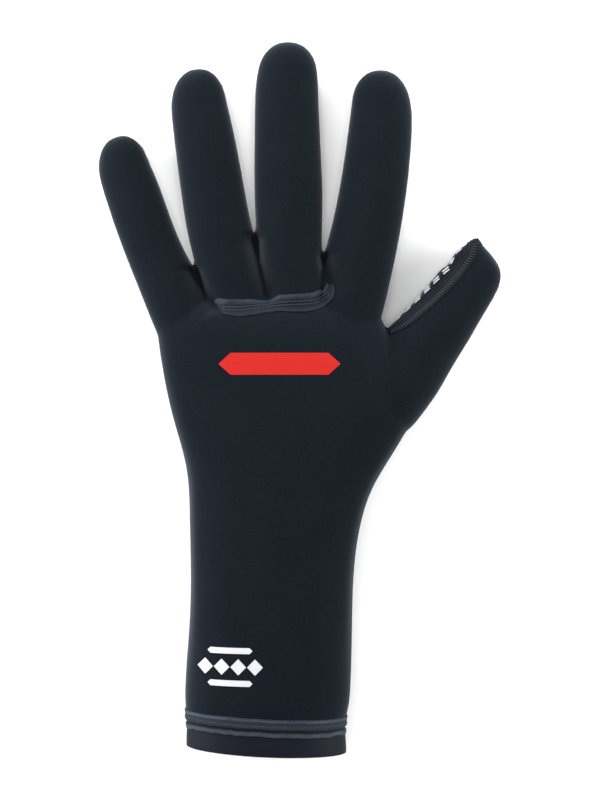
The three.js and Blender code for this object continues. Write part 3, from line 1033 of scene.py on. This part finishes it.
for i in range(columns):
    for j in range(lines):
        start = place(PALM_FIELD["left"], PALM_FIELD["high"], -50) + Vector((i, -j, 0)) * GRIP_PITCH
        spot, out, _, _ = skin_tree.ray_cast(start, UP)
        if spot is not None and out.z < FACING_DOWN:
            put_bar(spot, out, Vector((0, 1, 0)), GRIP_SLANT if i % 2 else -GRIP_SLANT)
print("grip bars in all:", len(grip_frames))

# %% Model one pair of bars and copy it
BAR_SIZE = (3.3 * MM, 0.85 * MM, 0.44 * MM)
NEXT_BAR = (0.5 * MM, 1.7 * MM, 0)
bpy.ops.object.select_all(action="DESELECT")
bpy.ops.mesh.primitive_cube_add(size=1)
grip_pair = bpy.context.object
stretch(grip_pair, BAR_SIZE)
finish_with(grip_pair, "BEVEL", width=0.14 * MM, segments=1, affect="EDGES")
finish_with(
    grip_pair, "ARRAY", count=2, use_relative_offset=False, use_constant_offset=True,
    constant_offset_displace=NEXT_BAR,
)
grip_print = copy_to("palm_grip_print", grip_pair, grip_frames)

# %% [markdown]
# ## Floor, light and camera
# The photograph looks straight down on the glove from under a metre, in soft even light. One large lamp
# overhead would leave the glove's edges dark, so most of the light comes from the sides, and three low
# lamps give each finger its pale edge.

# %% Camera
CAMERA_HEIGHT = 800 * MM
SHARP_HEIGHT = 15 * MM  # where 600 pixels span the frame's width
FRAME_LENGTH = 335.2 * MM  # the photograph's long side at that height
camera_data = bpy.data.cameras.new("camera")
camera = bpy.data.objects.new("camera", camera_data)
bpy.context.collection.objects.link(camera)
camera.location = place(0, 0, CAMERA_HEIGHT / MM)
camera_data.sensor_width = 36
camera_data.lens = 36 * (CAMERA_HEIGHT - SHARP_HEIGHT) / FRAME_LENGTH
camera_data.clip_start, camera_data.clip_end = 0.05, 10
scene.camera = camera
print("lens", round(camera_data.lens, 1), "mm")

# %% Floor
FLOOR_LEVEL = -0.6 * MM  # just under the lowest skin
bpy.ops.object.select_all(action="DESELECT")
bpy.ops.mesh.primitive_plane_add(size=6, location=(0, 0, FLOOR_LEVEL))
floor = bpy.context.object
floor.name = "floor"
tell(floor)

# %% Lights
Light = namedtuple("Light", "name size power spot aim")
MIDDLE = (0, 0, 0)
FINGERS = (0, 0.12, 0)
lights = [
    Light("overhead", 0.5, 6, (0, 0, 1.3), MIDDLE),
    Light("left_side", 0.6, 12, (-0.9, 0.2, 0.35), MIDDLE),
    Light("left_low", 0.4, 9, (-0.9, 0, 0.14), MIDDLE),
    Light("right_side", 0.6, 13.5, (0.9, 0.1, 0.35), MIDDLE),
    Light("right_low", 0.4, 3, (0.9, 0, 0.14), MIDDLE),
    Light("fingertip_side", 0.5, 3.5, (-0.1, 0.62, 0.32), FINGERS),
    Light("fingertip_low", 0.4, 7, (-0.2, 0.9, 0.16), MIDDLE),
]
for light in lights:
    lamp = bpy.data.lights.new(light.name, "AREA")
    lamp.size, lamp.energy = light.size, light.power
    holder = bpy.data.objects.new(light.name, lamp)
    holder.location = light.spot
    holder.rotation_euler = (Vector(light.aim) - Vector(light.spot)).to_track_quat("-Z", "Y").to_euler()
    bpy.context.collection.objects.link(holder)
world = bpy.data.worlds.new("studio")
world.use_nodes = True
backdrop = world.node_tree.nodes["Background"]
backdrop.inputs["Color"].default_value = (1, 1, 1, 1)
backdrop.inputs["Strength"].default_value = 0.3
scene.world = world
scene.view_settings.view_transform = "Standard"
print(len(lights), "lights")

# %% [markdown]
# ## Finishes
# Every finish starts from what the real surface is. Plain values go straight onto the shader's own
# sockets, and nodes add only what varies over the surface. Pictures could do that too, but noise needs
# no file and has no seams. Patterns use Object coordinates in metres, so a noise with a scale of 1000
# has grains of about a millimetre.

# %% Colour and node helpers
def tint(code):
    """An sRGB hex colour as linear light."""
    shades = [int(code[i : i + 2], 16) / 255 for i in (1, 3, 5)]
    return (*[s / 12.92 if s <= 0.04045 else ((s + 0.055) / 1.055) ** 2.4 for s in shades], 1)


def add_node(tree, kind, settings=None, links=None):
    """Adds a node, Bump for ShaderNodeBump, sets its fields and inputs, and links others to its inputs."""
    node = tree.nodes.new("ShaderNode" + kind)
    for key, value in (settings or {}).items():
        if isinstance(key, str) and hasattr(node, key):
            setattr(node, key, value)
        else:
            node.inputs[key].default_value = value
    for key, source in (links or {}).items():
        tree.links.new(source, node.inputs[key])
    return node


def new_finish(name, **sockets):
    """A material whose shader has these plain values, written as Base_Color for Base Color."""
    finish = bpy.data.materials.new(name)
    finish.use_nodes = True
    shader = finish.node_tree.nodes["Principled BSDF"]
    for key, value in sockets.items():
        shader.inputs[key.replace("_", " ")].default_value = value
    where = add_node(finish.node_tree, "TexCoord").outputs["Object"]
    return finish, finish.node_tree, shader, where


def clothe(tree, shader, colour, bump):
    """Joins a colour and a bump to the shader."""
    tree.links.new(colour.outputs["Color"], shader.inputs["Base Color"])
    tree.links.new(bump.outputs["Normal"], shader.inputs["Normal"])


# %% [markdown]
# ### Jersey-faced neoprene
# Closed-cell rubber foam with a knitted nylon face laminated on. The knit is matt and slightly fuzzy:
# it has no gloss, and its fibres catch light at grazing angles, which is the soft pale edge of each
# finger. Hair could be the fuzz, but Sheen gives the same look without thousands of strands.

# %% The knit
KNIT = 1 / (0.9 * MM)  # real loops are 0.5 mm; drawn at 0.9 mm so that they show
FLECK = 1 / (0.5 * MM)
BLOTCH = 1 / (14 * MM)
jersey, tree, shader, where = new_finish(
    "jersey-faced neoprene", Roughness=0.92, Specular_IOR_Level=0.0, Sheen_Weight=0.46, Sheen_Roughness=0.4,
    Sheen_Tint=tint("#999da8"),
)
cloud = add_node(tree, "TexNoise", {"Scale": BLOTCH, "Detail": 3, "Roughness": 0.5}, {"Vector": where})
tones = add_node(
    tree, "MixRGB", {"Color1": tint("#0a0f14"), "Color2": tint("#0f1418")}, {"Fac": cloud.outputs["Fac"]}
)
fuzz = add_node(tree, "TexNoise", {"Scale": FLECK, "Detail": 2, "Roughness": 0.6}, {"Vector": where})
fleck = add_node(
    tree, "MapRange", {"From Min": 0.46, "From Max": 0.76, "To Min": 0.0, "To Max": 0.52},
    {"Value": fuzz.outputs["Fac"]},
)
knit_colour = add_node(
    tree, "MixRGB", {"Color2": tint("#1c2228")},
    {"Fac": fleck.outputs["Result"], "Color1": tones.outputs["Color"]},
)
loops = add_node(tree, "TexVoronoi", {"Scale": KNIT, "Randomness": 0.55}, {"Vector": where})
knit_bump = add_node(
    tree, "Bump", {"Strength": 0.35, "Distance": 0.12 * MM}, {"Height": loops.outputs["Distance"]}
)
clothe(tree, shader, knit_colour, knit_bump)
print(jersey.name, "with", len(tree.nodes), "nodes")

# %% [markdown]
# ### Pressed seam tape
# A thin polyurethane-coated fabric tape, pressed on hot. It is satin where it is smooth, rubbed paler
# in patches on its ridges, and its grooves are darkened with painted shade. Edge wear could come from the
# mesh's curvature, but the tape knows its own ridges: their height was stored as an attribute when it was
# laid.

# %% Tape tones
TAPE_WEAVE = 1 / (0.8 * MM)
TAPE_PATCH = 1 / (5 * MM)


def tape_finish(name, dark, light, rubbed, painted_groove_shade):
    """Seam tape whose tone follows the ridges stored on it: paler in worn patches on the ridges, painted
    shade in the grooves.
    """
    finish, tree, shader, where = new_finish(name, Roughness=0.6, Specular_IOR_Level=0.04)
    weave = add_node(
        tree, "TexNoise", {"Scale": TAPE_WEAVE, "Detail": 3, "Roughness": 0.65}, {"Vector": where}
    )
    patch = add_node(tree, "TexNoise", {"Scale": TAPE_PATCH, "Detail": 2}, {"Vector": where})
    ridge = add_node(tree, "Attribute", {"attribute_name": "ridge"}).outputs["Fac"]
    high = add_node(tree, "MapRange", {"From Min": 0.74, "From Max": 0.98}, {"Value": ridge})
    # painted shade: the tape's low parts, its grooves, are darkened towards the groove shade colour
    low = add_node(
        tree, "MapRange", {"From Min": 0.2, "From Max": 0.65, "To Min": 0.8, "To Max": 0}, {"Value": ridge}
    )
    patchy = add_node(
        tree, "MapRange", {"From Min": 0.3, "From Max": 0.6, "To Min": 0.35}, {"Value": patch.outputs["Fac"]}
    )
    worn = add_node(
        tree, "Math", {"operation": "MULTIPLY"}, {0: high.outputs["Result"], 1: patchy.outputs["Result"]}
    )
    body = add_node(
        tree, "MixRGB", {"Color1": tint(dark), "Color2": tint(light)}, {"Fac": weave.outputs["Fac"]}
    )
    pale = add_node(
        tree, "MixRGB", {"Color2": tint(rubbed)}, {"Fac": worn.outputs[0], "Color1": body.outputs["Color"]}
    )
    # painted shade: mixes the grooves towards the darker groove shade colour
    colour = add_node(
        tree, "MixRGB", {"Color2": tint(painted_groove_shade)},
        {"Fac": low.outputs["Result"], "Color1": pale.outputs["Color"]},
    )
    bump = add_node(tree, "Bump", {"Strength": 0.3, "Distance": 0.1 * MM}, {"Height": weave.outputs["Fac"]})
    clothe(tree, shader, colour, bump)
    print(name, "with", len(tree.nodes), "nodes")
    return finish


# The three tapes are one kind of tape. Their tones differ as painted light and shade: the thumb's copy is
# painted darker and the cuff's copy paler, for how the lamps fall on each. The last colour of each is its
# painted groove shade.
knuckle_finish = tape_finish("pressed knuckle tape", "#0f151b", "#1a2027", "#2e343c", "#0a0d11")
thumb_finish = tape_finish("pressed thumb tape", "#090d12", "#11161c", "#22282f", "#07090c")
wrist_finish = tape_finish("pressed cuff tape", "#1a2027", "#252c34", "#444b54", "#0a0d11")

# %% [markdown]
# ### Thread and smooth-skin rubber
# Bonded nylon thread is a little paler and shinier than the tape it crosses. Smooth-skin neoprene is
# the foam's own moulded surface without a knit: even, soft satin, a little patchy in gloss. One noise
# drives both its tone and its roughness, as handling marks both.

# %% Thread
thread, tree, shader, where = new_finish("bonded nylon thread", Roughness=0.5, Specular_IOR_Level=0.12)
ply = add_node(tree, "TexNoise", {"Scale": 1 / (0.7 * MM), "Detail": 2}, {"Vector": where})
twist = add_node(
    tree, "MixRGB", {"Color1": tint("#1a1e24"), "Color2": tint("#30353c")}, {"Fac": ply.outputs["Fac"]}
)
tree.links.new(twist.outputs["Color"], shader.inputs["Base Color"])
print(thread.name, "with", len(tree.nodes), "nodes")

# %% Smooth-skin rubber
skin_rubber, tree, shader, where = new_finish("smooth-skin neoprene", Roughness=0.62, Specular_IOR_Level=0.06)
patch = add_node(tree, "TexNoise", {"Scale": 1 / (9 * MM), "Detail": 4, "Roughness": 0.55}, {"Vector": where})
grit = add_node(tree, "TexNoise", {"Scale": 1 / (0.8 * MM), "Detail": 2}, {"Vector": where})
band_colour = add_node(
    tree, "MixRGB", {"Color1": tint("#0a0d15"), "Color2": tint("#0f121c")}, {"Fac": patch.outputs["Fac"]}
)
band_rough = add_node(tree, "MapRange", {"To Min": 0.5, "To Max": 0.66}, {"Value": patch.outputs["Fac"]})
band_bump = add_node(tree, "Bump", {"Strength": 0.12, "Distance": 0.08 * MM}, {"Height": grit.outputs["Fac"]})
tree.links.new(band_rough.outputs["Result"], shader.inputs["Roughness"])
clothe(tree, shader, band_colour, band_bump)
print(skin_rubber.name, "with", len(tree.nodes), "nodes")

# %% [markdown]
# ### Films and silicone
# Heat-pressed polyurethane film takes the knit's grain from underneath and has a dull satin face.
# Silicone grip print is thicker, smoother and a little glossier. The floor's paper differs only in
# its numbers, so one function makes them all.

# %% Prints and paper
def print_finish(name, dark, light, roughness, gloss, grain_mm, strength):
    """A coloured film over a fine grain."""
    finish, tree, shader, where = new_finish(name, Roughness=roughness, Specular_IOR_Level=gloss)
    grain = add_node(tree, "TexNoise", {"Scale": 1 / (grain_mm * MM), "Detail": 2}, {"Vector": where})
    colour = add_node(
        tree, "MixRGB", {"Color1": tint(dark), "Color2": tint(light)}, {"Fac": grain.outputs["Fac"]}
    )
    bump = add_node(
        tree, "Bump", {"Strength": strength, "Distance": 0.08 * MM}, {"Height": grain.outputs["Fac"]}
    )
    clothe(tree, shader, colour, bump)
    return finish


red_film = print_finish("red heat-pressed film", "#991d19", "#a72420", 0.7, 0.04, 0.9, 0.2)
white_film = print_finish("white heat-pressed film", "#abacaf", "#babbbd", 0.7, 0.04, 0.9, 0.15)
silicone = print_finish("white silicone grip print", "#a6a7ad", "#c4c4ca", 0.35, 0.15, 1.4, 0.1)
floor_paper = print_finish("pale studio paper", "#f4f4f4", "#f8f8f8", 0.9, 0.15, 20, 0.05)
for film in (red_film, white_film, silicone, floor_paper):
    print(film.name, "with", len(film.node_tree.nodes), "nodes")

# %% [markdown]
# ## Handing the pieces over
# Each piece gets its finish, rides on the glove's one body, and stands for the CAD node it dresses.

# %% Pieces, finishes and the nodes they stand for
Role = namedtuple("Role", "piece finish slot node")
roles = [
    Role(panels["back_of_hand"], jersey, "neoprene", "back_panel"),
    Role(panels["two_finger_back"], jersey, "neoprene", "finger_panel"),
    Role(panels["palm_and_inner_thumb"], jersey, "neoprene", "palm_panel"),
    Role(panels["cuff_hem_band"], skin_rubber, "hem_rubber", "cuff_band"),
    Role(knuckle_tape, knuckle_finish, "tape", "knuckle_tape"),
    Role(thumb_tape, thumb_finish, "tape", "thumb_tape"),
    Role(cuff_tape, wrist_finish, "tape", "cuff_tape"),
    Role(knuckle_stitches, thread, "tape", None),
    Role(thumb_stitches, thread, "tape", None),
    Role(cuff_stitches, thread, "tape", None),
    Role(back_bar, red_film, "red_print", "back_mark"),
    Role(grip_print, silicone, "white_print", None),
]
roles += [Role(piece, white_film, "white_print", node) for node, piece in cuff_marks.items()]
floor.data.materials.append(floor_paper)
bpy.data.objects.remove(form)
for role in roles:
    role.piece.data.materials.clear()
    role.piece.data.materials.append(role.finish)
    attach(role.piece, "root")
    if role.node:
        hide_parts(role.node)
print(len(roles), "pieces")
